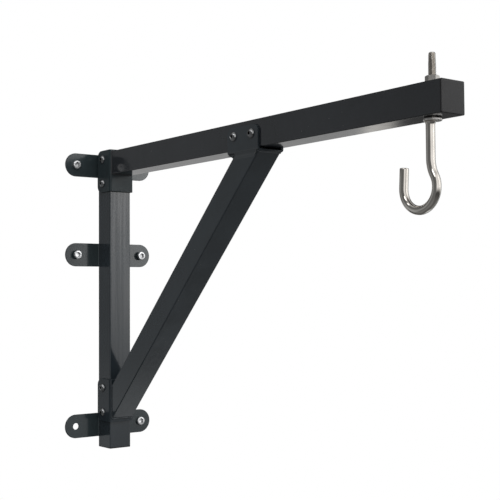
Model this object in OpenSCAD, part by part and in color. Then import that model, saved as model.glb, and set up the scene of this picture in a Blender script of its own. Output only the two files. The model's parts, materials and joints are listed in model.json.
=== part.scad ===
// Wall bracket for hanging a punch bag: an upright post on three wall ears, a level arm,
// a diagonal strut, and a swivelling open hook near the arm's end.
// Millimetres. +Z is up, the wall is the plane Y = 0 and the arm reaches out along -Y.
// The origin is the centre of the middle ear's back face, on the wall.

/* [Square tube] */
// Outside width of the post, the arm and the strut
tube_w = 50; // [40:1:60]
// Wall thickness of the tube
tube_t = 3; // [2:0.5:4]
// Outside corner radius of the tube
tube_r = 2; // [1.5:0.5:5]

/* [Post] */
// Height of the post's upper end above the middle ear
post_top = 221.5; // [190:0.5:300]
// Depth of the post's lower end below the middle ear
post_drop = 410.5; // [400:0.5:600]

/* [Arm] */
// Distance from the wall to the outer face of the arm's end cap
arm_reach = 1000.5; // [800:0.5:1200]

/* [Strut] */
// Height where the strut's centre line would cross the wall, below the middle ear
strut_root = 374.5; // [360:0.5:390]

/* [Wall ears] */
// Length of an ear
ear_l = 208; // [190:1:240]
// Height of an ear, whose ends are full half rounds
ear_h = 50; // [40:1:60]
// Thickness of an ear
ear_t = 4; // [3:0.5:6]
// Distance between the two wall holes of an ear
ear_pitch = 158; // [140:1:180]
// Diameter of a wall hole
ear_hole_d = 14; // [12.5:0.5:15]
// Height of the upper ear above the middle one
ear_up = 193.5; // [190:0.5:195]
// Depth of the lower ear below the middle one
ear_down = 366; // [360:1:372]

/* [Saddles] */
// Thickness of the bent plate
plate_t = 4; // [3:0.5:5]
// Gap between the base of the U and the tube in it
plate_gap = 3; // [2:0.5:4]
// Outside radius of the bends
bend_r = 5.5; // [5.5:0.5:7]
// Length of a saddle along its tube
saddle_l = 90; // [84:1:96]
// How far a post saddle's cheeks reach past the tube's front face
post_cheek = 47; // [42:0.5:49]
// How far the arm saddle's cheeks reach up the arm
arm_cheek = 41.5; // [38:0.5:48]
// Radius of the cheeks' free corners
cheek_r = 15; // [8:1:18]
// Distance between the two bolts of a saddle
bolt_pitch = 52; // [44:1:56]

/* [Hook] */
// Diameter of the hook's rod
rod_d = 14; // [13:0.5:16]
// Diameter of the hook's thread
thread_d = 12; // [10:0.5:12]
// Distance from the wall to the thread's axis, about which the hook turns
hook_reach = 960.5; // [760:0.5:962]
// How far the rod's axis is from the thread's axis, towards the wall
rod_shift = 5; // [0:0.5:5]
// Height of the thread that stands above the arm
thread_up = 47; // [30:1:60]
// Radius of the open loop's centre line
loop_r = 33.4; // [28:0.1:40]
// How far the loop's centre is from the rod's axis, towards the wall
loop_offset = 22.4; // [15:0.1:26]
// Depth of the loop's centre below the arm
loop_drop = 101.5; // [90:0.1:130]
// Radius of the bend between the rod and the loop
sway_r = 50; // [40:1:60]
// Length of the straight tip above the loop
tip_l = 31; // [20:1:36]
// Angle at which the tip leans in
tip_lean = 3; // [0:1:8]
// Diameter of the collar under the arm
collar_d = 28; // [22:1:32]
// Height of the collar
collar_h = 4; // [3:0.5:6]
// Play between the collar and the arm
collar_play = 1; // [0.5:0.5:3]

/* [Hidden] */
$fn = 64;

// Tube frame
inner_r = max(tube_r - tube_t, 0.5);
post_y = -ear_t - tube_w / 2;            // the post's axis
post_front = -ear_t - tube_w;            // the post's front face
plate_y = post_front - plate_gap - plate_t;  // outer face of a post saddle's base
arm_z = post_top - tube_w / 2;           // the arm's axis
arm_under = post_top - tube_w;           // the arm's underside
plate_z = arm_under - plate_gap - plate_t;   // outer face of the arm saddle's base

// Plugs in the tube ends
cap_t = 2.5;
cap_skirt = 10;
cap_wall = 2;
cap_slack = 0.15;
arm_tube_end = -arm_reach + cap_t;

// Saddle centres. The arm's saddle ends a little above the arm. Each strut saddle sits near the
// place where the strut's centre line meets its tube, moved a little towards the post's top
// or the arm's root.
arm_saddle_rise = 3.5;
strut_lower_shift = 9.5;
strut_upper_shift = 14;
arm_saddle_z = post_top + arm_saddle_rise - saddle_l / 2;
strut_lower_z = -strut_root - post_front + strut_lower_shift;
strut_upper_y = -strut_root - arm_under + strut_upper_shift;

// M10 fasteners: button-head screw, washer and nut
bolt_d = 10;
bolt_hole_d = 11;
bolt_head_d = 17.5;
bolt_head_h = 5.5;
bolt_dome_r = 9.75;      // radius of the head's dome, whose tip is cut flat
bolt_dome_cut = 0.95;
bolt_socket = 6;
bolt_socket_depth = 3.2;
bolt_chamfer = 1;
bolt_past_nut = 3;
washer_d = 20;
washer_t = 2;
nut_af = 17;
nut_h = 8;
grip = tube_w + 2 * plate_t;

// M12 wall screws with low heads and a plain neck; the middle pair stand off a little
wall_bolt_d = 12;
wall_neck_d = 11.6;
wall_neck_l = 8;
wall_head_d = 18;
wall_head_h = 6;
wall_rim = 0.8;
wall_socket = 10;
wall_socket_depth = 4.5;
wall_chamfer = 1.5;
wall_bolt_l = 36;
middle_standoff = 4;

// Hook
hook_y = -hook_reach;
rod_y = hook_y + rod_shift;
shoulder_z = arm_under - collar_play - collar_h;
neck_h = 3.5;
neck_d = rod_d + 4;
thread_top = post_top + thread_up;
thread_taper = 20;
thread_tip_d = thread_d - 1.2;
swivel_gap = 0.1;
thrust_washer_d = 24;
hook_nut_af = 19;
hook_nut_h = 10;
hook_nut_turn = 10;
loop_z = arm_under - loop_drop;
sway = acos((loop_offset + sway_r) / (loop_r + sway_r));   // angle where rod bend and loop meet
sway_z = loop_z + (loop_r + sway_r) * sin(sway);
tip_chamfer = 1.5;
joint_over = 0.02;       // how much larger a joint ball is than the rod
collar_rim = 0.8;

// ---------- shared shapes ----------

module rounded_square(w, r) {
    square([w, w - 2 * r], center = true);
    square([w - 2 * r, w], center = true);
    for (sx = [-1, 1], sy = [-1, 1])
        translate([sx, sy] * (w / 2 - r)) circle(r);
}

// A square tube standing on the origin
module square_tube(length) {
    linear_extrude(length) difference() {
        rounded_square(tube_w, tube_r);
        rounded_square(tube_w - 2 * tube_t, inner_r);
    }
}

// A plug whose head closes a tube end: the head is above the origin, the skirt below it
module tube_plug() {
    skirt_w = tube_w - 2 * tube_t - 2 * cap_slack;
    linear_extrude(cap_t) rounded_square(tube_w, tube_r);
    translate([0, 0, -cap_skirt]) linear_extrude(cap_skirt) difference() {
        rounded_square(skirt_w, inner_r);
        rounded_square(skirt_w - 2 * cap_wall, 0.5);
    }
}

// A hole across X
module cross_hole(d, y, z) {
    translate([-tube_w, y, z]) rotate([0, 90, 0]) cylinder(d = d, h = 2 * tube_w);
}

// A U outline: open at the top, with both lower corners rounded
module u_outline(half, low, high, r) {
    translate([-half, low + r]) square([2 * half, high - low - r]);
    translate([r - half, low]) square([2 * (half - r), 2 * r]);
    for (s = [-1, 1]) translate([s * (half - r), low + r]) circle(r);
}

// A bent plate that straddles a tube. The tube's near face is the plane Y = 0, its axis is
// along Z, and the cheeks reach out along +Y.
module saddle(cheek) {
    half = tube_w / 2;
    back = -plate_gap - plate_t;
    difference() {
        intersection() {
            translate([0, 0, -saddle_l / 2]) linear_extrude(saddle_l) difference() {
                u_outline(half + plate_t, back, cheek, bend_r);
                u_outline(half, -plate_gap, cheek + 1, bend_r - plate_t);
            }
            rotate([0, -90, 0]) translate([0, 0, -tube_w]) linear_extrude(2 * tube_w)
                cheek_outline(back, cheek);
        }
        for (s = [-1, 1]) cross_hole(bolt_hole_d, half, s * bolt_pitch / 2);
    }
}

// Side view of a cheek: length along X, reach along Y, free corners rounded
module cheek_outline(back, cheek) {
    translate([-saddle_l / 2, back]) square([saddle_l, cheek - back - cheek_r]);
    translate([cheek_r - saddle_l / 2, back]) square([saddle_l - 2 * cheek_r, cheek - back]);
    for (s = [-1, 1])
        translate([s * (saddle_l / 2 - cheek_r), cheek - cheek_r]) circle(cheek_r);
}

// A hexagonal socket that opens at the top of a head
module hex_socket(af, depth) {
    translate([0, 0, -depth]) cylinder(d = af / cos(30), h = depth + 1, $fn = 6);
}

// Button-head screw along +Z: the head is below the origin, the shank above it
module button_screw(length) {
    difference() {
        intersection() {
            translate([0, 0, -bolt_head_h]) cylinder(d = bolt_head_d, h = bolt_head_h);
            translate([0, 0, bolt_dome_r - bolt_head_h - bolt_dome_cut]) sphere(bolt_dome_r);
        }
        translate([0, 0, -bolt_head_h]) mirror([0, 0, 1])
            hex_socket(bolt_socket, bolt_socket_depth);
    }
    shank(bolt_d, length, bolt_chamfer);
}

// A plain shank on the origin, chamfered at its far end
module shank(d, length, chamfer) {
    cylinder(d = d, h = length - chamfer);
    translate([0, 0, length - chamfer]) cylinder(d1 = d, d2 = d - 2 * chamfer, h = chamfer);
}

// Low-head screw along +Z, with a bevelled rim and a plain neck under the head
module low_head_screw(length) {
    difference() {
        union() {
            translate([0, 0, wall_rim - wall_head_h])
                cylinder(d = wall_head_d, h = wall_head_h - wall_rim);
            translate([0, 0, -wall_head_h])
                cylinder(d1 = wall_head_d - 2 * wall_rim, d2 = wall_head_d, h = wall_rim);
        }
        translate([0, 0, -wall_head_h]) mirror([0, 0, 1])
            hex_socket(wall_socket, wall_socket_depth);
    }
    cylinder(d = wall_neck_d, h = wall_neck_l);
    translate([0, 0, wall_neck_l]) shank(wall_bolt_d, length - wall_neck_l, wall_chamfer);
}

// A hexagon nut on the origin, chamfered at both faces
module hex_nut(af, h, bore) {
    corner = af / cos(30);
    cut = (corner - af) / 2 * tan(30) + 0.3;
    difference() {
        intersection() {
            cylinder(d = corner, h = h, $fn = 6);
            union() {
                cylinder(d1 = af * 0.97, d2 = corner + 0.6, h = cut);
                translate([0, 0, cut]) cylinder(d = corner + 0.6, h = h - 2 * cut);
                translate([0, 0, h - cut]) cylinder(d1 = corner + 0.6, d2 = af * 0.97, h = cut);
            }
        }
        translate([0, 0, -1]) cylinder(d = bore, h = h + 2);
    }
}

module flat_washer(d, t, bore) {
    difference() {
        cylinder(d = d, h = t);
        translate([0, 0, -1]) cylinder(d = bore, h = t + 2);
    }
}

// Places its children at a post saddle's two bolts, with +Z turned to +X
module at_post_bolts(centre_z, x) {
    for (s = [-1, 1])
        translate([x, post_y, centre_z + s * bolt_pitch / 2]) rotate([0, 90, 0]) children();
}

// The same at the arm's two strut bolts
module at_arm_bolts(x) {
    for (s = [-1, 1])
        translate([x, strut_upper_y + s * bolt_pitch / 2, arm_z]) rotate([0, 90, 0]) children();
}

module saddle_screw() {
    button_screw(grip + washer_t + nut_h + bolt_past_nut);
}

// ---------- sub-parts ----------

module wall_ear(z) {
    color("#1b1c1f") translate([0, 0, z]) rotate([90, 0, 0]) linear_extrude(ear_t) difference() {
        union() {
            square([ear_l - ear_h, ear_h], center = true);
            for (s = [-1, 1]) translate([s * (ear_l - ear_h) / 2, 0]) circle(d = ear_h);
        }
        for (s = [-1, 1]) translate([s * ear_pitch / 2, 0]) circle(d = ear_hole_d);
    }
}

module wall_ear_top() { wall_ear(ear_up); }
module wall_ear_middle() { wall_ear(0); }
module wall_ear_bottom() { wall_ear(-ear_down); }

module post_tube() {
    color("#1b1c1f") difference() {
        translate([0, post_y, -post_drop]) square_tube(post_top + post_drop);
        for (c = [arm_saddle_z, strut_lower_z], s = [-1, 1])
            cross_hole(bolt_hole_d, post_y, c + s * bolt_pitch / 2);
    }
}

module post_top_cap() {
    color("#101012") translate([0, post_y, post_top]) tube_plug();
}

module post_bottom_cap() {
    color("#101012") translate([0, post_y, -post_drop]) mirror([0, 0, 1]) tube_plug();
}

module arm_saddle() {
    color("#1b1c1f") translate([0, post_front, arm_saddle_z]) saddle(post_cheek);
}

module arm_tube() {
    color("#1b1c1f") difference() {
        translate([0, plate_y, arm_z]) rotate([90, 0, 0]) square_tube(plate_y - arm_tube_end);
        for (s = [-1, 1]) cross_hole(bolt_hole_d, strut_upper_y + s * bolt_pitch / 2, arm_z);
        translate([0, hook_y, arm_z - tube_w])
            cylinder(d = thread_d + 2 * swivel_gap, h = 2 * tube_w);
    }
}

module arm_end_cap() {
    color("#101012") translate([0, arm_tube_end, arm_z]) rotate([90, 0, 0]) tube_plug();
}

module strut_lower_saddle() {
    color("#1b1c1f") translate([0, post_front, strut_lower_z]) saddle(post_cheek);
}

module strut_upper_saddle() {
    color("#1b1c1f") translate([0, strut_upper_y, arm_under]) rotate([90, 0, 0]) saddle(arm_cheek);
}

// The strut runs at 45 degrees and is mitred against both saddles
module strut_tube() {
    span = arm_under - post_front + strut_root;
    color("#1b1c1f") intersection() {
        translate([0, 0, -strut_root]) rotate([45, 0, 0]) square_tube(2 * span);
        translate([-tube_w, plate_y - span, plate_z - span]) cube([2 * tube_w, span, span]);
    }
}

module arm_saddle_bolts() {
    color("#b9bbbd") at_post_bolts(arm_saddle_z, -grip / 2) saddle_screw();
}

module arm_saddle_washers() {
    color("#b9bbbd") at_post_bolts(arm_saddle_z, grip / 2) flat_washer(washer_d, washer_t, bolt_d);
}

module arm_saddle_nuts() {
    color("#b9bbbd") at_post_bolts(arm_saddle_z, grip / 2 + washer_t) hex_nut(nut_af, nut_h, bolt_d);
}

module strut_lower_bolts() {
    color("#b9bbbd") at_post_bolts(strut_lower_z, -grip / 2) saddle_screw();
}

module strut_lower_washers() {
    color("#b9bbbd") at_post_bolts(strut_lower_z, grip / 2) flat_washer(washer_d, washer_t, bolt_d);
}

module strut_lower_nuts() {
    color("#b9bbbd") at_post_bolts(strut_lower_z, grip / 2 + washer_t)
        hex_nut(nut_af, nut_h, bolt_d);
}

module strut_upper_bolts() {
    color("#b9bbbd") at_arm_bolts(-grip / 2) saddle_screw();
}

module strut_upper_washers() {
    color("#b9bbbd") at_arm_bolts(grip / 2) flat_washer(washer_d, washer_t, bolt_d);
}

module strut_upper_nuts() {
    color("#b9bbbd") at_arm_bolts(grip / 2 + washer_t) hex_nut(nut_af, nut_h, bolt_d);
}

// One screw at [side, height, stand-off]; the lower left hole is left empty
module wall_bolts() {
    places = [[-1, ear_up, 0], [1, ear_up, 0],
              [-1, 0, middle_standoff], [1, 0, middle_standoff],
              [1, -ear_down, 0]];
    color("#d9dadb")
        for (p = places)
            translate([p[0] * ear_pitch / 2, -ear_t - p[2], p[1]]) rotate([-90, 0, 0])
                low_head_screw(wall_bolt_l);
}

// Turns a child that lies in XY into the plane X = 0, with X to Y and Y to Z
module in_side_plane() {
    rotate([90, 0, 90]) children();
}

// A bend of the rod about the origin, from one angle to another
module rod_bend(r, from, to) {
    in_side_plane() rotate([0, 0, from]) rotate_extrude(angle = to - from)
        translate([r, 0]) circle(d = rod_d);
}

// A ball that joins two stretches of the rod, a hair larger than the rod
module rod_joint(y, z) {
    translate([0, y, z]) sphere(d = rod_d + joint_over);
}

// The straight rod, flared to a neck where it meets the collar
module hook_shank() {
    rotate_extrude() polygon([
        [0, sway_z], [rod_d / 2, sway_z],
        [rod_d / 2, shoulder_z - neck_h], [neck_d / 2, shoulder_z], [0, shoulder_z]]);
}

// The tapered thread, which stands on the neck's upper face
module hook_thread() {
    rotate_extrude() polygon([
        [0, shoulder_z], [thread_d / 2, shoulder_z], [thread_d / 2, thread_top - thread_taper],
        [thread_tip_d / 2, thread_top - tip_chamfer],
        [thread_tip_d / 2 - tip_chamfer, thread_top], [0, thread_top]]);
}

module hook_tip() {
    rotate_extrude() polygon([
        [0, 0], [rod_d / 2, 0], [rod_d / 2, tip_l - tip_chamfer],
        [rod_d / 2 - tip_chamfer, tip_l], [0, tip_l]]);
}

module hook_rod() {
    loop_y = rod_y + loop_offset;
    color("#c4c4c2") {
        translate([0, hook_y, 0]) hook_thread();
        translate([0, rod_y, 0]) hook_shank();
        rod_joint(rod_y, sway_z);
        translate([0, rod_y - sway_r, sway_z]) rod_bend(sway_r, -sway, 0);
        rod_joint(loop_y - loop_r * cos(sway), loop_z + loop_r * sin(sway));
        translate([0, loop_y, loop_z]) rod_bend(loop_r, 180 - sway, 360 + tip_lean);
        rod_joint(loop_y + loop_r * cos(tip_lean), loop_z + loop_r * sin(tip_lean));
        translate([0, loop_y, loop_z]) rotate([tip_lean, 0, 0]) translate([0, loop_r, 0])
            hook_tip();
    }
}

// A ring on the rod's shoulder, with rounded rims
module hook_collar() {
    rim = collar_rim;
    color("#c4c4c2") translate([0, hook_y, shoulder_z]) difference() {
        union() {
            cylinder(d1 = collar_d - 2 * rim, d2 = collar_d, h = rim);
            translate([0, 0, rim]) cylinder(d = collar_d, h = collar_h - 2 * rim);
            translate([0, 0, collar_h - rim])
                cylinder(d1 = collar_d, d2 = collar_d - 2 * rim, h = rim);
        }
        translate([0, 0, -1]) cylinder(d = thread_d, h = collar_h + 2);
    }
}

module hook_thrust_washer() {
    color("#b9bbbd") translate([0, hook_y, post_top])
        flat_washer(thrust_washer_d, washer_t - swivel_gap, thread_d + 2 * swivel_gap);
}

module hook_nut() {
    color("#c4c4c2") translate([0, hook_y, post_top + washer_t])
        rotate([0, 0, hook_nut_turn]) hex_nut(hook_nut_af, hook_nut_h, thread_d);
}

wall_ear_top();
wall_ear_middle();
wall_ear_bottom();
post_tube();
post_top_cap();
post_bottom_cap();
arm_saddle();
arm_tube();
arm_end_cap();
strut_lower_saddle();
strut_tube();
strut_upper_saddle();
arm_saddle_bolts();
arm_saddle_washers();
arm_saddle_nuts();
strut_lower_bolts();
strut_lower_washers();
strut_lower_nuts();
strut_upper_bolts();
strut_upper_washers();
strut_upper_nuts();
wall_bolts();
hook_rod();
hook_collar();
hook_thrust_washer();
hook_nut();
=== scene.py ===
"""Looks for the wall bracket: gloss black powder coat, zinc fasteners and a polished hook.

The tubes, plates, nuts, washers and the collar are the CAD nodes, with rounded edges added by
modifiers. The screws, the hook rod and the end plugs are made here, with threads and soft edges,
and weld beads are added where the tubes meet the plates. Lengths are in millimetres until a
point is placed, and places come from the boxes of the CAD nodes.
"""

import json
import math

import bmesh
import bpy
from mathutils import Matrix, Vector


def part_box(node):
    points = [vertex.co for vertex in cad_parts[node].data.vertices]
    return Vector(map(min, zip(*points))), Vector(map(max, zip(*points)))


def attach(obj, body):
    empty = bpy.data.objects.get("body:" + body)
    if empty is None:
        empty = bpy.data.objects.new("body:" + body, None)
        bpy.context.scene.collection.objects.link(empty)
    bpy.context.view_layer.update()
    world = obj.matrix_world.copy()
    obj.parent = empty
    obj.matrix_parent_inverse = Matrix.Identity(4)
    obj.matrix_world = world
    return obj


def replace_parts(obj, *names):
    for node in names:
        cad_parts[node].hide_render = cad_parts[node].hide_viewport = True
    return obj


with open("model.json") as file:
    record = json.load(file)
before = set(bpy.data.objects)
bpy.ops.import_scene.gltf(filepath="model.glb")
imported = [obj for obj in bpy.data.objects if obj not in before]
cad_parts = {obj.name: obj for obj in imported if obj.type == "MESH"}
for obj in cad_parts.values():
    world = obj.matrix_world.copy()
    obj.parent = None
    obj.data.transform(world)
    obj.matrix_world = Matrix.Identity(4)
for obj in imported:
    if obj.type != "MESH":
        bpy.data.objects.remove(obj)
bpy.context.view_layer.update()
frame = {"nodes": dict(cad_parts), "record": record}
SCENE = bpy.context.scene
NODES = frame["nodes"]
MM = 0.001


# ---------- places and sizes, from the boxes of the CAD nodes ----------


def mm(metres):
    """A length in millimetres, without the float noise of the CAD meshes."""
    return round(metres / MM, 3)


def low_end(node, axis):
    return mm(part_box(node)[0][axis])


def high_end(node, axis):
    return mm(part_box(node)[1][axis])


def middle_of(node, axis):
    return mm((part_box(node)[0][axis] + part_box(node)[1][axis]) / 2)


X, Y, Z = 0, 1, 2
TUBE_HALF = high_end("post_tube", X)
MITRE_HALF = TUBE_HALF * math.sqrt(2)  # half the length of the strut's cut ends
POST_Y = middle_of("post_tube", Y)
POST_FOOT, POST_TOP = low_end("post_tube", Z), high_end("post_tube", Z)
ARM_END, ARM_Z = low_end("arm_tube", Y), middle_of("arm_tube", Z)
ARM_UNDER, ARM_TOP = low_end("arm_tube", Z), high_end("arm_tube", Z)
CHEEK_X, SADDLE_FACE_Y = low_end("arm_saddle", X), low_end("arm_saddle", Y)
SADDLE_FACE_Z = low_end("strut_upper_saddle", Z)
STRUT_FOOT_Z = mm(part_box("strut_tube")[0].z + MITRE_HALF * MM)  # the middles of its cut ends
STRUT_HEAD_Y = mm(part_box("strut_tube")[0].y + MITRE_HALF * MM)
EAR_FACE_Y = low_end("wall_ear_top", Y)
EAR_Z = {ear: middle_of("wall_ear_" + ear, Z) for ear in ("top", "middle", "bottom")}
HOOK_Y = middle_of("hook_collar", Y)  # the thread's axis, about which the hook turns
SHOULDER, THREAD_TOP = low_end("hook_collar", Z), high_end("hook_rod", Z)


# ---------- camera ----------

# From a camera fitted to the photo's edges: millimetres, then metres, then radians
LENS, SENSOR = 75.43, 36.0
CAMERA_AT = (-1.1434, -2.0150, -0.0850)
AZIMUTH, ELEVATION, ROLL = -0.6513, -0.0413, -0.0063


def make_camera():
    """A level-ish view from the front left, a little below the arm."""
    a, e, r = AZIMUTH, ELEVATION, ROLL
    back = Vector((math.sin(a) * math.cos(e), -math.cos(a) * math.cos(e), math.sin(e)))
    right = (-back).cross(Vector((0, 0, 1))).normalized()
    up = right.cross(-back)
    turned_right = right * math.cos(r) + up * math.sin(r)
    turned_up = up * math.cos(r) - right * math.sin(r)
    data = bpy.data.cameras.new("camera")
    data.lens, data.sensor_width = LENS, SENSOR
    data.clip_start, data.clip_end = 0.05, 100
    camera = bpy.data.objects.new("camera", data)
    SCENE.collection.objects.link(camera)
    turn = Matrix((turned_right, turned_up, back)).transposed()
    camera.matrix_world = Matrix.Translation(CAMERA_AT) @ turn.to_4x4()
    SCENE.camera = camera


make_camera()


# ---------- node helper ----------


class Tree:
    """A node tree that is built one call per node; add() gives the node's first output."""

    def __init__(self, owner):
        owner.use_nodes = True
        self.nodes, self.links = owner.node_tree.nodes, owner.node_tree.links
        self.nodes.clear()

    def add(self, kind, inputs=None, output=0, **settings):
        made = self.nodes.new(kind)
        for key, value in settings.items():
            setattr(made, key, value)
        for key, value in (inputs or {}).items():
            if isinstance(value, bpy.types.NodeSocket):
                self.links.new(value, made.inputs[key])
            else:
                made.inputs[key].default_value = value
        return made.outputs[output] if made.outputs else None

    def math(self, operation, *values):
        return self.add("ShaderNodeMath", dict(enumerate(values)), operation=operation)

    def noise(self, at, scale, detail=2.0, rough=0.5):
        return self.add("ShaderNodeTexNoise", {
            "Vector": at, "Scale": scale, "Detail": detail, "Roughness": rough})

    def ramp(self, value, low, high, to_low=0.0, to_high=1.0):
        """value carried smoothly from low..high to to_low..to_high, and held outside it."""
        return self.add("ShaderNodeMapRange", {
            "Value": value, "From Min": low, "From Max": high,
            "To Min": to_low, "To Max": to_high}, interpolation_type="SMOOTHSTEP")

    def mix(self, share, first, second):
        """A blend of two colours, whose sockets are told from a plain number's by their index."""
        return self.add("ShaderNodeMix", {0: share, 6: first, 7: second}, output=2,
                        data_type="RGBA")

    def bump(self, height, distance):
        return self.add("ShaderNodeBump", {
            "Height": height, "Distance": distance, "Strength": 1.0})


def rgb(r, g, b):
    return (r, g, b, 1.0)


# ---------- materials ----------


def paint(name, tone, rough, spec=0.5, pull=0.0, lean=None, waver=0.0, cut_ends=None):
    """Black powder coat: a broad haze, orange peel, fine grain and a few pale dust specks.

    pull is a plate's slight slope across X, taken from how its face shades beside the others.
    lean turns a tube's length onto Z, in degrees about X, and waver is the height in metres of
    the faint draw lines that run along it. cut_ends is the axis that a plate's cut ends face,
    which are duller than its faces.
    """
    m = bpy.data.materials.new(name)
    t = Tree(m)
    at = t.add("ShaderNodeTexCoord", output=3)
    haze = t.noise(at, 9, 5, 0.6)
    peel = t.math("ADD", t.noise(at, 330, 2, 0.5), t.math(
        "MULTIPLY", t.noise(at, 1100, 1, 0.5), 0.25))
    dust = t.add("ShaderNodeTexVoronoi", {"Vector": at, "Scale": 85, "Randomness": 1.0})
    speck = t.math("MULTIPLY", t.ramp(dust, 0.035, 0.075, 1, 0), t.ramp(haze, 0.5, 0.62, 0, 1))
    cloudy = rgb(*(c * 1.3 for c in tone))
    pale = rgb(0.09, 0.092, 0.095)
    colour = t.mix(speck, t.mix(t.ramp(haze, 0.35, 0.7), rgb(*tone), cloudy), pale)
    gloss = t.math("ADD", t.ramp(haze, 0.3, 0.7, rough - 0.015, rough + 0.03),
                   t.math("MULTIPLY", speck, 0.3))
    across = t.add("ShaderNodeSeparateXYZ", {"Vector": at})
    height = t.math("ADD", t.math("MULTIPLY", peel, 0.00002), t.math("MULTIPLY", across, pull))
    if lean is not None:
        drawn = t.noise(t.add("ShaderNodeMapping", {
            "Vector": at, "Rotation": (math.radians(lean), 0, 0), "Scale": (110, 110, 2.5)}),
            1.0, 3, 0.55)
        height = t.math("ADD", height, t.math("MULTIPLY", drawn, waver))
        gloss = t.math("ADD", gloss, t.ramp(drawn, 0.4, 0.65, 0, 0.05))
    if cut_ends is not None:
        facing = t.add("ShaderNodeVectorMath", {
            0: t.add("ShaderNodeNewGeometry", output=3), 1: cut_ends},
            output=1, operation="DOT_PRODUCT")
        cut = t.ramp(t.math("ABSOLUTE", facing), 0.85, 0.95)
        gloss = t.math("ADD", gloss, t.math("MULTIPLY", cut, 0.35))
        spec = t.ramp(cut, 0, 1, spec, spec * 0.45)
    surface = t.add("ShaderNodeBsdfPrincipled", {
        "Base Color": colour, "Roughness": gloss, "Specular IOR Level": spec,
        "Normal": t.bump(height, 1.0)})
    t.add("ShaderNodeOutputMaterial", {"Surface": surface})
    return m


def plastic(name):
    """Moulded black plastic: a fine grain with a duller, softer shine than the paint."""
    m = bpy.data.materials.new(name)
    t = Tree(m)
    at = t.add("ShaderNodeTexCoord", output=3)
    grain = t.noise(at, 1500, 2, 0.6)
    cloud = t.noise(at, 25, 4, 0.55)
    colour = t.mix(t.ramp(cloud, 0.3, 0.7), rgb(0.013, 0.013, 0.014), rgb(0.021, 0.021, 0.022))
    surface = t.add("ShaderNodeBsdfPrincipled", {
        "Base Color": colour, "Roughness": t.ramp(cloud, 0.3, 0.7, 0.3, 0.4),
        "Specular IOR Level": 0.3,
        "Normal": t.bump(grain, 0.00005)})
    t.add("ShaderNodeOutputMaterial", {"Surface": surface})
    return m


def zinc(name, tone, rough):
    """Bright zinc plate: faint crystalline clouds, dulled patches where tools touched it, and
    painted shade in its sockets and corners, from ambient occlusion."""
    m = bpy.data.materials.new(name)
    t = Tree(m)
    at = t.add("ShaderNodeTexCoord", output=3)
    crystal = t.noise(at, 900, 4, 0.65)
    patch = t.noise(at, 160, 3, 0.6)
    bright = t.mix(t.ramp(patch, 0.35, 0.7), rgb(*tone), rgb(*(c * 0.72 for c in tone)))
    # painted shade: the colour falls to 0.08 of the tone where ambient occlusion finds a socket or
    # corner
    painted_shade_ao = t.add("ShaderNodeAmbientOcclusion", {"Distance": 0.006}, output=1)
    colour = t.mix(t.ramp(painted_shade_ao, 0.25, 0.75), rgb(*(c * 0.08 for c in tone)), bright)
    gloss = t.math("ADD", t.ramp(patch, 0.3, 0.7, rough, rough + 0.12),
                   t.ramp(crystal, 0.3, 0.7, 0, 0.05))
    surface = t.add("ShaderNodeBsdfPrincipled", {
        "Base Color": colour, "Metallic": 1.0, "Roughness": gloss,
        "Normal": t.bump(crystal, 0.00002)})
    t.add("ShaderNodeOutputMaterial", {"Surface": surface})
    return m


def polished(name, tone, rough):
    """Polished steel: fine rub marks dull it in places, over a faint uneven polish."""
    m = bpy.data.materials.new(name)
    t = Tree(m)
    at = t.add("ShaderNodeTexCoord", output=3)
    along = t.add("ShaderNodeMapping", {"Vector": at, "Scale": (60, 60, 2600)})
    rubbed = t.noise(along, 1.0, 4, 0.6)
    wave = t.noise(at, 45, 1, 0.4)
    colour = t.mix(t.ramp(wave, 0.3, 0.75), rgb(*tone), rgb(*(c * 0.86 for c in tone)))
    gloss = t.math("ADD", t.ramp(wave, 0.3, 0.7, rough, rough + 0.05),
                   t.ramp(rubbed, 0.35, 0.75, 0, 0.04))
    surface = t.add("ShaderNodeBsdfPrincipled", {
        "Base Color": colour, "Metallic": 1.0, "Roughness": gloss,
        "Normal": t.bump(wave, 0.0003)})
    t.add("ShaderNodeOutputMaterial", {"Surface": surface})
    return m


# The three blacks below are one coat: the second is a darker copy, painted shade on the arm, and
# the third a lighter copy, painted light on the ears and on the saddle at the arm's root.
BLACK = (0.0190, 0.0255, 0.0310)
SHADED_BLACK = (0.0180, 0.0200, 0.0235)
LIT_BLACK = (0.0255, 0.0360, 0.0400)
ALONG_Y, ALONG_Z = (0, 1, 0), (0, 0, 1)
PAINT = {
    "ear_paint": paint("ear_paint", LIT_BLACK, 0.12),
    "post_paint": paint("post_paint", BLACK, 0.11, lean=0, waver=0.00012),
    "arm_paint": paint("arm_paint", SHADED_BLACK, 0.10, lean=90, waver=0.00001),
    "strut_paint": paint("strut_paint", BLACK, 0.13, lean=-45, waver=0.00001),
    "saddle_paint": paint("saddle_paint", BLACK, 0.15, pull=-0.05, cut_ends=ALONG_Y),
}
SADDLE_PAINT = {  # the two saddles on the post are duller than the one on the arm
    "arm_saddle": paint("saddle_paint_top", LIT_BLACK, 0.17, spec=0.2, pull=-0.05,
                        cut_ends=ALONG_Z),
    "strut_lower_saddle": paint("saddle_paint_low", BLACK, 0.17, spec=0.32, pull=-0.05,
                                cut_ends=ALONG_Z),
}
CAP_PLASTIC = plastic("cap_plastic")
BOLT_ZINC = zinc("bolt_zinc", (0.30, 0.305, 0.31), 0.07)
WASHER_ZINC = zinc("washer_zinc", (0.62, 0.625, 0.63), 0.26)
NUT_ZINC = zinc("nut_zinc", (0.58, 0.585, 0.59), 0.24)
WALL_ZINC = zinc("wall_bolt_zinc", (0.80, 0.81, 0.82), 0.22)
STEEL = polished("hook_steel", (0.64, 0.605, 0.56), 0.03)
NUT_STEEL = polished("hook_nut_steel", (0.40, 0.385, 0.365), 0.20)
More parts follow.
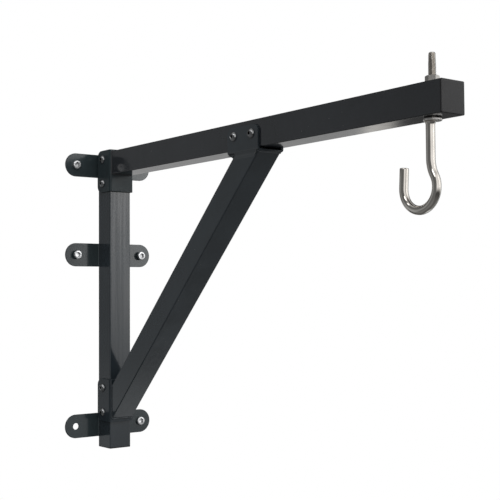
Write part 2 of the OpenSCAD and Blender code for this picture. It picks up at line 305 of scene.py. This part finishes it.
STEEL_PARTS = {  # the nut and washer are duller than the collar
    "hook_nut": NUT_STEEL, "hook_thrust_washer": NUT_STEEL,
    "hook_collar": polished("hook_collar_steel", (0.80, 0.78, 0.75), 0.28),
}
OWN_FINISH = {**SADDLE_PAINT, **STEEL_PARTS}

MATERIAL_OF_SLOT = {
    **PAINT, "cap_plastic": CAP_PLASTIC, "bolt_zinc": BOLT_ZINC, "washer_zinc": WASHER_ZINC,
    "nut_zinc": NUT_ZINC, "wall_bolt_zinc": WALL_ZINC, "hook_steel": STEEL,
}


# ---------- the CAD nodes that stay ----------


def smooth_group():
    """A modifier's node group that shades every face smooth, and leaves the CAD mesh as it is."""
    group = bpy.data.node_groups.new("smooth_faces", "GeometryNodeTree")
    for way in ("INPUT", "OUTPUT"):
        group.interface.new_socket("Geometry", in_out=way, socket_type="NodeSocketGeometry")
    start, end = group.nodes.new("NodeGroupInput"), group.nodes.new("NodeGroupOutput")
    normal = group.nodes.new("GeometryNodeSetMeshNormal")
    normal.mode = "SHARPNESS"
    normal.inputs["Remove Custom"].default_value = True
    group.links.new(start.outputs[0], normal.inputs["Mesh"])
    group.links.new(normal.outputs[0], end.inputs[0])
    return group


SMOOTH = smooth_group()


def dress(name, material, edge):
    """Gives a CAD node its material, and modifiers for smooth faces and softly rounded edges."""
    o = NODES[name]
    for slot in o.material_slots:
        slot.material = material
    o.modifiers.new("smooth", "NODES").node_group = SMOOTH
    weld = o.modifiers.new("weld", "WELD")
    weld.merge_threshold = 2e-6
    flat = o.modifiers.new("flat", "DECIMATE")
    flat.decimate_type, flat.angle_limit = "DISSOLVE", math.radians(0.6)
    bevel = o.modifiers.new("edge", "BEVEL")
    bevel.width, bevel.segments = edge * MM, 3
    bevel.limit_method, bevel.angle_limit = "ANGLE", math.radians(35)
    bevel.use_clamp_overlap = True
    normals = o.modifiers.new("normals", "WEIGHTED_NORMAL")
    normals.mode, normals.weight = "FACE_AREA", 100


EDGES = {  # the width of the rounded edges in each slot
    "ear_paint": 0.7, "post_paint": 0.4, "arm_paint": 0.4, "strut_paint": 0.4,
    "saddle_paint": 0.6, "washer_zinc": 0.2, "nut_zinc": 0.25, "hook_steel": 0.25,
}
MADE_HERE = ("hook_rod", "wall_bolts", "arm_saddle_bolts", "strut_lower_bolts",
             "strut_upper_bolts", "post_top_cap", "post_bottom_cap", "arm_end_cap")

for part in frame["record"]["subparts"]:
    node, slot_name = part["node"], part["material_slot"]
    if node not in MADE_HERE:
        dress(node, OWN_FINISH.get(node, MATERIAL_OF_SLOT[slot_name]), EDGES[slot_name])


# ---------- meshes ----------


def mesh_piece(name, shells, material, body, sharp=38):
    """One piece from closed shells, each a list of rings of equally many points."""
    bm = bmesh.new()
    for rings in shells:
        grid = [[bm.verts.new(point) for point in ring] for ring in rings]
        count = len(grid[0])
        for low, high in zip(grid, grid[1:]):
            for i in range(count):
                j = (i + 1) % count
                bm.faces.new((low[i], low[j], high[j], high[i]))
        bm.faces.new(list(reversed(grid[0])))
        bm.faces.new(grid[-1])
    bmesh.ops.recalc_face_normals(bm, faces=bm.faces)
    data = bpy.data.meshes.new(name)
    bm.to_mesh(data)
    bm.free()
    for polygon in data.polygons:
        polygon.use_smooth = True
    data.set_sharp_from_angle(angle=math.radians(sharp))
    data.materials.append(material)
    o = bpy.data.objects.new(name, data)
    SCENE.collection.objects.link(o)
    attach(o, body)
    return o


def hexagon(across_flats):
    """A hexagon's radius as a function of the angle."""
    sixth = math.pi / 3

    def radius(angle):
        return across_flats / 2 / math.cos((angle % sixth) - sixth / 2)

    return radius


def thread(minor, major, pitch, z):
    """A thread's radius at height z as a function of the angle, with blunt ridges."""

    def radius(angle):
        phase = (z / pitch - angle / (2 * math.pi)) % 1
        ridge = min(1.0, max(0.0, 1.35 * (1 - abs(2 * phase - 1)) - 0.12))
        return minor + (major - minor) * ridge

    return radius


def spaced(first, last, step):
    """Even values from first to last, about a step apart."""
    count = max(1, round(abs(last - first) / step))
    return [first + (last - first) * i / count for i in range(count + 1)]


ROUND_STEPS = 48  # points round a screw or the hook's rod


def turned(rows, place):
    """Rings from (radius, z) rows about local Z; place turns local millimetres into metres."""
    rings = []
    for radius, z in rows:
        ring = []
        for i in range(ROUND_STEPS):
            angle = 2 * math.pi * i / ROUND_STEPS
            r = radius(angle) if callable(radius) else radius
            ring.append(place(Vector((r * math.cos(angle), r * math.sin(angle), z))))
        rings.append(ring)
    return rings


THREAD_STEPS = 8  # rings in one pitch


def threaded_rows(from_z, to_z, d, pitch, chamfer, at_end):
    """A thread between two heights, with a chamfered end beyond to_z."""
    depth = 0.54 * pitch
    rows = [(thread(d / 2 - depth, d / 2, pitch, z), z)
            for z in spaced(from_z, to_z - chamfer, pitch / THREAD_STEPS)]
    return rows + [(d / 2 - depth, to_z - chamfer / 2), (at_end, to_z)]


def socket_rows(top_z, af, depth, lip):
    """A hexagon socket from its floor up to the flat round it, as rows that go outwards."""
    side = hexagon(af)
    wider = hexagon(af + 2 * lip)
    return [(0.4, top_z + depth + 0.4), (side, top_z + depth), (side, top_z + lip), (wider, top_z)]


# ---------- screws ----------

BUTTON_HEAD_R, BUTTON_LENGTH = 17.5 / 2, 71
WALL_HEAD_R, WALL_LENGTH, WALL_NECK_R, WALL_NECK_L = 9, 36, 5.8, 8
M10, M10_PITCH, M12, M12_PITCH = 10, 1.5, 12, 1.75


def button_screw():
    """The rows of an M10 button-head screw with a half thread, its head at negative z."""
    rim, dome, height, cut = BUTTON_HEAD_R, 9.75, 5.5, 0.95
    thread_from, run_out = 50, 0.2
    centre = dome - height - cut
    rows = socket_rows(-height, 6, 3.2, 0.2)
    flat = math.sqrt(dome**2 - (height + centre)**2)
    rows += [(flat - 0.2, -height), (flat + 0.15, -height + 0.12)]
    for r in spaced(flat + 0.6, rim - 0.25, 0.6):
        rows.append((r, centre - math.sqrt(dome**2 - r**2)))
    rows += [(rim, -0.8), (rim, -0.25), (rim - 0.25, 0),
             (M10 / 2, 0), (M10 / 2, thread_from - run_out)]
    return rows + threaded_rows(thread_from, BUTTON_LENGTH, M10, M10_PITCH, 1.0, 3.9)


def wall_screw():
    """The rows of an M12 low-head screw with a plain neck, its head at negative z."""
    rim, height = WALL_HEAD_R, 6
    rows = socket_rows(-height, 10, 4.5, 0.25)
    rows += [(rim - 1.2, -height), (rim - 0.75, -height + 0.12), (rim - 0.2, -height + 0.6),
             (rim, -height + 1.1), (rim, -0.3), (rim - 0.3, 0),
             (WALL_NECK_R, 0), (WALL_NECK_R, WALL_NECK_L)]
    return rows + threaded_rows(WALL_NECK_L, WALL_LENGTH, M12, M12_PITCH, 1.4, 4.5)


def spun(v, turn):
    """A local point's X and Y after a turn about the screw's own axis."""
    c, s = math.cos(turn), math.sin(turn)
    return v.x * c - v.y * s, v.x * s + v.y * c


def sideways(x, y, z, turn):
    """Local +Z to world +X at a place in millimetres."""

    def place(v):
        a, b = spun(v, turn)
        return Vector((x + v.z, y + a, z + b)) * MM

    return place


def inwards(x, y, z, turn):
    """Local +Z to world +Y, the way into the wall."""

    def place(v):
        a, b = spun(v, turn)
        return Vector((x + a, y + v.z, z - b)) * MM

    return place


def saddle_screws(node, name, step_axis, turns):
    """The two screws of a saddle, at the ends of the node's own box along step_axis."""
    first, last = (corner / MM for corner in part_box(node))
    centre = (first + last) / 2
    ends = first[step_axis] + BUTTON_HEAD_R, last[step_axis] - BUTTON_HEAD_R
    shells = []
    for along, turn in zip(ends, turns):
        at = [CHEEK_X, centre.y, centre.z]
        at[step_axis] = along
        shells.append(turned(button_screw(), sideways(*at, turn)))
    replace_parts(mesh_piece(name, shells, BOLT_ZINC, "bracket"), node)


saddle_screws("arm_saddle_bolts", "screws_arm_saddle", Z, (0.3, 0.9))
saddle_screws("strut_lower_bolts", "screws_strut_lower", Z, (0.15, 0.62))
saddle_screws("strut_upper_bolts", "screws_strut_upper", Y, (0.5, 0.05))

# One screw in each wall hole but the lower left: side, ear, stand-off, turn
WALL_SCREWS = [(-1, "top", 0, 0.35), (1, "top", 0, 0.1), (-1, "middle", 4, 0.8),
               (1, "middle", 4, 0.2), (1, "bottom", 0, 0.6)]
HALF_PITCH = high_end("wall_bolts", X) - WALL_HEAD_R
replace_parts(mesh_piece(
    "wall_screws",
    [turned(wall_screw(), inwards(side * HALF_PITCH, EAR_FACE_Y - stand_off, EAR_Z[ear], turn))
     for side, ear, stand_off, turn in WALL_SCREWS],
    WALL_ZINC, "bracket"), "wall_bolts")


# ---------- end plugs ----------


def rounded_ring(half_u, half_v, radius, steps):
    """A rounded rectangle about the origin, as (u, v) points."""
    points = []
    for quarter, (su, sv) in enumerate(((1, 1), (-1, 1), (-1, -1), (1, -1))):
        for i in range(steps + 1):
            angle = math.pi / 2 * (quarter + i / steps)
            points.append((su * (half_u - radius) + radius * math.cos(angle),
                           sv * (half_v - radius) + radius * math.sin(angle)))
    return points


def plug(name, node, place):
    """A plug's head: rounded rim, a shallow step and a slightly crowned middle."""
    rows = [(0.1, 2.0, 0.0), (0, 2, 0.08), (0, 2, 1.3), (0.25, 1.9, 1.9), (0.8, 1.8, 2.3),
            (1.6, 1.6, 2.42), (3.4, 1.5, 2.44), (10, 1.5, 2.47), (18, 1.5, 2.5), (24.5, 0.4, 2.5)]
    rings = []
    for inset, radius, w in rows:
        half = TUBE_HALF - inset
        rings.append([place(u, v, w) for u, v in rounded_ring(half, half, radius, 8)])
    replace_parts(mesh_piece(name, [rings], CAP_PLASTIC, "bracket"), node)


plug("plug_post_top", "post_top_cap",
     lambda u, v, w: Vector((u, POST_Y + v, POST_TOP + w)) * MM)
plug("plug_post_foot", "post_bottom_cap",
     lambda u, v, w: Vector((u, POST_Y + v, POST_FOOT - w)) * MM)
plug("plug_arm_end", "arm_end_cap", lambda u, v, w: Vector((u, ARM_END - w, ARM_Z + v)) * MM)


# ---------- hook ----------

ROD_R = 7.0
ROD_Y = HOOK_Y + 5                     # the rod hangs a little nearer the wall than its thread
SWAY_R, LOOP_R = 50.0, 33.4            # the bend above the loop, and the loop
LOOP_Y, LOOP_Z = ROD_Y + 22.4, ARM_UNDER - 101.5
SWAY = math.acos((LOOP_Y - ROD_Y + SWAY_R) / (LOOP_R + SWAY_R))   # where bend and loop meet
SWAY_Z = LOOP_Z + (LOOP_R + SWAY_R) * math.sin(SWAY)
BEND_STEP = math.radians(2.5)
TIP_LEAN, TIP_L = math.radians(3), 31.0
THREAD_R, THREAD_DEPTH = M12 / 2, 0.95
TAPER, TAPER_L, THREAD_END = 0.6, 20, 1.5    # the thread thins by TAPER over TAPER_L


def thread_rings():
    """The tapered thread above the arm, and the plain stretch inside it."""
    rows = [(3.7, THREAD_TOP), (4.5, THREAD_TOP - 0.7)]
    for z in spaced(THREAD_TOP - THREAD_END, ARM_TOP + 0.5, M12_PITCH / THREAD_STEPS):
        tapered = max(0.0, z - (THREAD_TOP - TAPER_L))
        major = THREAD_R - TAPER * tapered / (TAPER_L - THREAD_END)
        rows.append((thread(major - THREAD_DEPTH, major, M12_PITCH, z), z))
    rows += [(THREAD_R, ARM_TOP - 0.5), (THREAD_R, SHOULDER + 0.2), (THREAD_R - 1, SHOULDER)]
    return turned(rows, lambda v: Vector((v.x, HOOK_Y + v.y, v.z)) * MM)


def rod_rings():
    """Rings along the rod's centre line, from its neck down and round to the tip."""
    neck = ((8.6, 0), (9.0, 0.35), (8.5, 1.1), (7.7, 2.4), (7.2, 3.6), (ROD_R, 5.5), (ROD_R, 25))
    tip = ((ROD_R, 10), (ROD_R, TIP_L - 1.8), (6.8, TIP_L - 1.0), (6.3, TIP_L - 0.35),
           (5.5, TIP_L - 0.03), (2.5, TIP_L))  # both as (radius, distance along the rod)
    rings = []

    def ring(y, z, tangent_y, tangent_z, r):
        points = []
        for i in range(ROUND_STEPS):
            angle = 2 * math.pi * i / ROUND_STEPS
            across, inplane = r * math.cos(angle), r * math.sin(angle)
            points.append(Vector((across, y - tangent_z * inplane, z + tangent_y * inplane)) * MM)
        rings.append(points)

    for radius, drop in neck:
        ring(ROD_Y, SHOULDER - drop, 0, -1, radius)
    ring(ROD_Y, SWAY_Z, 0, -1, ROD_R)
    for a in spaced(0, -SWAY, BEND_STEP)[1:]:
        ring(ROD_Y - SWAY_R + SWAY_R * math.cos(a), SWAY_Z + SWAY_R * math.sin(a),
             math.sin(a), -math.cos(a), ROD_R)
    end = 2 * math.pi + TIP_LEAN
    for a in spaced(math.pi - SWAY, end, BEND_STEP)[1:]:
        ring(LOOP_Y + LOOP_R * math.cos(a), LOOP_Z + LOOP_R * math.sin(a),
             -math.sin(a), math.cos(a), ROD_R)
    foot_y, foot_z = LOOP_Y + LOOP_R * math.cos(end), LOOP_Z + LOOP_R * math.sin(end)
    way_y, way_z = -math.sin(end), math.cos(end)
    for radius, at in tip:
        ring(foot_y + way_y * at, foot_z + way_z * at, way_y, way_z, radius)
    return rings


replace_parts(mesh_piece("hook", [thread_rings(), rod_rings()], STEEL, "hook"),
            "hook_rod")


# ---------- weld beads ----------


def resample(points, step):
    """Points a step apart along a line through the given points."""
    even, left = [points[0].copy()], step
    for a, b in zip(points, points[1:]):
        length = (b - a).length
        while left <= length:
            even.append(a.lerp(b, left / length))
            left += step
        left -= length
    if (even[-1] - points[-1]).length > step * 0.3:
        even.append(points[-1].copy())
    return even


BEAD_R, BEAD_STEP, BEAD_SIDES = 1.6, 0.6, 12
RIPPLE = 2.4  # length of one ripple


def bead(name, lines, slot_name):
    """Weld beads along lines in millimetres: overlapping ripples of a slightly uneven width."""
    around = [2 * math.pi * k / BEAD_SIDES for k in range(BEAD_SIDES)]
    shells = []
    for seed, line in enumerate(lines):
        path = resample([Vector(p) for p in line], BEAD_STEP)
        tangents = [(path[min(i + 1, len(path) - 1)] - path[max(i - 1, 0)]).normalized()
                    for i in range(len(path))]
        side = tangents[0].orthogonal().normalized()
        rings = []
        for i, (at, along) in enumerate(zip(path, tangents)):
            side = (side - along * side.dot(along)).normalized()
            other = along.cross(side)
            far = i * BEAD_STEP / RIPPLE + seed * 0.37
            swell = 1 + 0.10 * (0.5 - 1.4 * abs(far % 1 - 0.35) ** 0.8)
            swell += 0.05 * math.sin(far * 0.9 + seed) + 0.03 * math.sin(far * 2.3)
            run_in = min(1.0, 0.55 + 0.25 * min(i, len(path) - 1 - i))  # thinner at both ends
            r = BEAD_R * swell * run_in
            rings.append([(at + (side * math.cos(a) + other * math.sin(a)) * r) * MM
                          for a in around])
        shells.append(rings)
    mesh_piece(name, shells, MATERIAL_OF_SLOT[slot_name], "bracket", sharp=60)


def ear_weld(ear):
    """The two beads between an ear and the post's sides."""
    x, y, reach = TUBE_HALF - 0.2, EAR_FACE_Y - 0.6, TUBE_HALF - 0.5
    lines = [[(side * x, y, EAR_Z[ear] - reach), (side * x, y, EAR_Z[ear] + reach)]
             for side in (-1, 1)]
    bead("weld_ear_" + ear, lines, "ear_paint")


def tube_weld(name, half_v, corner, to_point, slot_name):
    """A bead round a tube's end, which reaches half_v to both sides of its middle."""
    line = [to_point(u, v) for u, v in rounded_ring(TUBE_HALF, half_v, corner, 6)]
    bead(name, [line + line[:1]], slot_name)


for ear_name in EAR_Z:
    ear_weld(ear_name)
tube_weld("weld_arm_root", TUBE_HALF, 2,
          lambda u, v: (u, SADDLE_FACE_Y - 0.6, ARM_Z + v), "arm_paint")
tube_weld("weld_strut_foot", MITRE_HALF, 2.5,
          lambda u, v: (u, SADDLE_FACE_Y - 0.4, STRUT_FOOT_Z + v), "strut_paint")
tube_weld("weld_strut_head", MITRE_HALF, 2.5,
          lambda u, v: (u, STRUT_HEAD_Y + v, SADDLE_FACE_Z - 0.4), "strut_paint")


def fairing(name, slot_name):
    """Smooth filler between the strut's sides and the saddle's cheeks above them."""
    # (out from the tube's side, up from the arm's underside); the hidden points lie inside
    section = [(-0.5, -16.5), (0.02, -15.5), (0.2, -13), (0.7, -10.5), (1.6, -7.9), (2.8, -5.3),
               (3.7, -2.7), (4.03, 0), (3.4, 0), (-0.5, -5.5)]
    from_y, to_y = STRUT_HEAD_Y - MITRE_HALF + 3.5, STRUT_HEAD_Y + MITRE_HALF - 3.5
    shells = []
    for side in (-1, 1):
        rings = []
        for y in spaced(from_y, to_y, 1.5):
            wave = 0.05 * math.sin(y * 0.9) + 0.04 * math.sin(y * 2.1)
            ring = []
            for out, up in section:
                x, z = TUBE_HALF + out, ARM_UNDER + up
                if -0.1 < out < 3.9:  # only the seen face is uneven
                    x += wave
                ring.append(Vector((side * x, y + max(0, SADDLE_FACE_Z - z), z)) * MM)
            rings.append(ring)
        shells.append(rings)
    mesh_piece(name, shells, MATERIAL_OF_SLOT[slot_name], "bracket", sharp=60)


fairing("weld_strut_cheeks", "strut_paint")


def back_fillet(name, slot_name):
    """The fillet in the corner between the strut's back and the saddle's base."""
    back_y = STRUT_HEAD_Y + MITRE_HALF
    section = [(back_y - 1, SADDLE_FACE_Z + 0.5), (back_y + 22, SADDLE_FACE_Z + 0.5),
               (back_y + 22, SADDLE_FACE_Z - 0.3), (back_y + 18, SADDLE_FACE_Z - 1.4),
               (back_y + 13.5, SADDLE_FACE_Z - 2.8), (back_y + 9.5, SADDLE_FACE_Z - 4.3),
               (back_y + 6.4, SADDLE_FACE_Z - 6.0), (back_y + 5, SADDLE_FACE_Z - 5.8)]
    middle_y, middle_z = back_y + 8, SADDLE_FACE_Z - 1.5
    rings = []
    reach = TUBE_HALF + 0.2
    for x in spaced(-reach, reach, 1.2):
        size = 0.86 if abs(x) > TUBE_HALF else 1 + 0.012 * math.sin(x * 1.1)
        rings.append([Vector((x, middle_y + (y - middle_y) * size,
                              middle_z + (z - middle_z) * size)) * MM for y, z in section])
    mesh_piece(name, [rings], MATERIAL_OF_SLOT[slot_name], "bracket", sharp=50)


back_fillet("weld_strut_back", "strut_paint")


# ---------- floor and light ----------


def make_floor():
    """A wide, plain pale floor well below the bracket."""
    half, level = 12.0, -1.1
    data = bpy.data.meshes.new("floor")
    corners = [(-half, -half), (half, -half), (half, half), (-half, half)]
    data.from_pydata([(x, y, level) for x, y in corners], [], [(0, 1, 2, 3)])
    floor = bpy.data.objects.new("floor", data)
    SCENE.collection.objects.link(floor)
    m = bpy.data.materials.new("pale_floor")
    t = Tree(m)
    t.add("ShaderNodeOutputMaterial", {"Surface": t.add("ShaderNodeEmission", {
        "Color": rgb(1, 1, 1), "Strength": 1.0})})
    data.materials.append(m)
    floor.visible_diffuse = floor.visible_glossy = floor.visible_shadow = False


# Soft boxes and dark flags round the studio: (azimuth from +X in degrees, half width, soft edge,
# elevation at the lower and upper edge, soft edge, strength, colour)
WARM, NEUTRAL, COOL = (1.0, 0.95, 0.86), (1.0, 1.0, 1.0), (0.94, 0.98, 1.0)
STUDIO = [
    (284, 64, 4, -8, 50, 24, 1.1, NEUTRAL),        # the wide front box
    (301.9, 2.5, 0.3, 0, 40, 17, 3.3, NEUTRAL),    # a strip light within it
    (134, 15, 4, -14, 14, 10, 0.18, COOL),         # what the left faces mirror
    (122, 12, 6, -30, -4.5, 3, 0.22, COOL),
    (158, 58, 8, -60, 60, 20, 0.10, COOL),
    (72, 27, 1.2, -20, 12, 8, 0.42, NEUTRAL),      # behind, for the undersides
    (45.6, 0.8, 0.4, -20, 0, 8, 0.5, WARM),
    (0, 26, 6, -34, 34, 12, 0.34, COOL),           # the right side
    (0, 50, 10, -75, -40, 10, 0.13, COOL),         # low, for the strut's lower face
    (27, 18, 2, -75, -40, 10, 0.55, COOL),
    (205, 9, 2, 32, 50, 4, 5.0, NEUTRAL),          # small high windows, for glints
    (165, 7, 2, 40, 56, 4, 3.0, NEUTRAL),
]
AMBIENT, OVERHEAD, UNDERFOOT = 0.08, 0.45, 0.06


def make_world():
    """White to the camera. To everything else it is the studio above."""
    world = bpy.data.worlds.new("studio")
    SCENE.world = world
    t = Tree(world)
    way = t.add("ShaderNodeTexCoord", output=0)
    way_x, way_y, way_z = t.add("ShaderNodeSeparateXYZ", {"Vector": way}).node.outputs
    azimuth = t.math("ARCTAN2", way_y, way_x)
    height = t.math("ARCSINE", way_z)
    up = t.math("MULTIPLY", t.ramp(height, math.radians(35), math.radians(65)), OVERHEAD)
    down = t.math("MULTIPLY", t.ramp(height, math.radians(-20), math.radians(-45)), UNDERFOOT)
    level = t.math("ADD", t.math("ADD", up, down), AMBIENT)
    total = t.mix(level, rgb(0, 0, 0), rgb(1, 1, 1))
    for centre, half, soft, low, high, edge, strength, colour in STUDIO:
        off = t.math("ABSOLUTE", t.math("WRAP", t.math(
            "SUBTRACT", azimuth, math.radians(centre)), math.pi, -math.pi))
        across = t.ramp(off, math.radians(half + soft), math.radians(half - soft))
        above = t.ramp(height, math.radians(low - edge / 2), math.radians(low + edge / 2))
        below = t.ramp(height, math.radians(high + edge / 2), math.radians(high - edge / 2))
        share = t.math("MULTIPLY", t.math("MULTIPLY", across, above), below)
        lit = t.mix(share, rgb(0, 0, 0), rgb(*(c * strength for c in colour)))
        total = t.add("ShaderNodeVectorMath", {0: total, 1: lit}, operation="ADD")
    camera_ray = t.add("ShaderNodeLightPath", output=0)
    seen = t.mix(camera_ray, total, rgb(1, 1, 1))
    t.add("ShaderNodeOutputWorld", {"Surface": t.add("ShaderNodeBackground", {
        "Color": seen, "Strength": 1.0})})


make_floor()
make_world()
SCENE.view_settings.view_transform = "Standard"
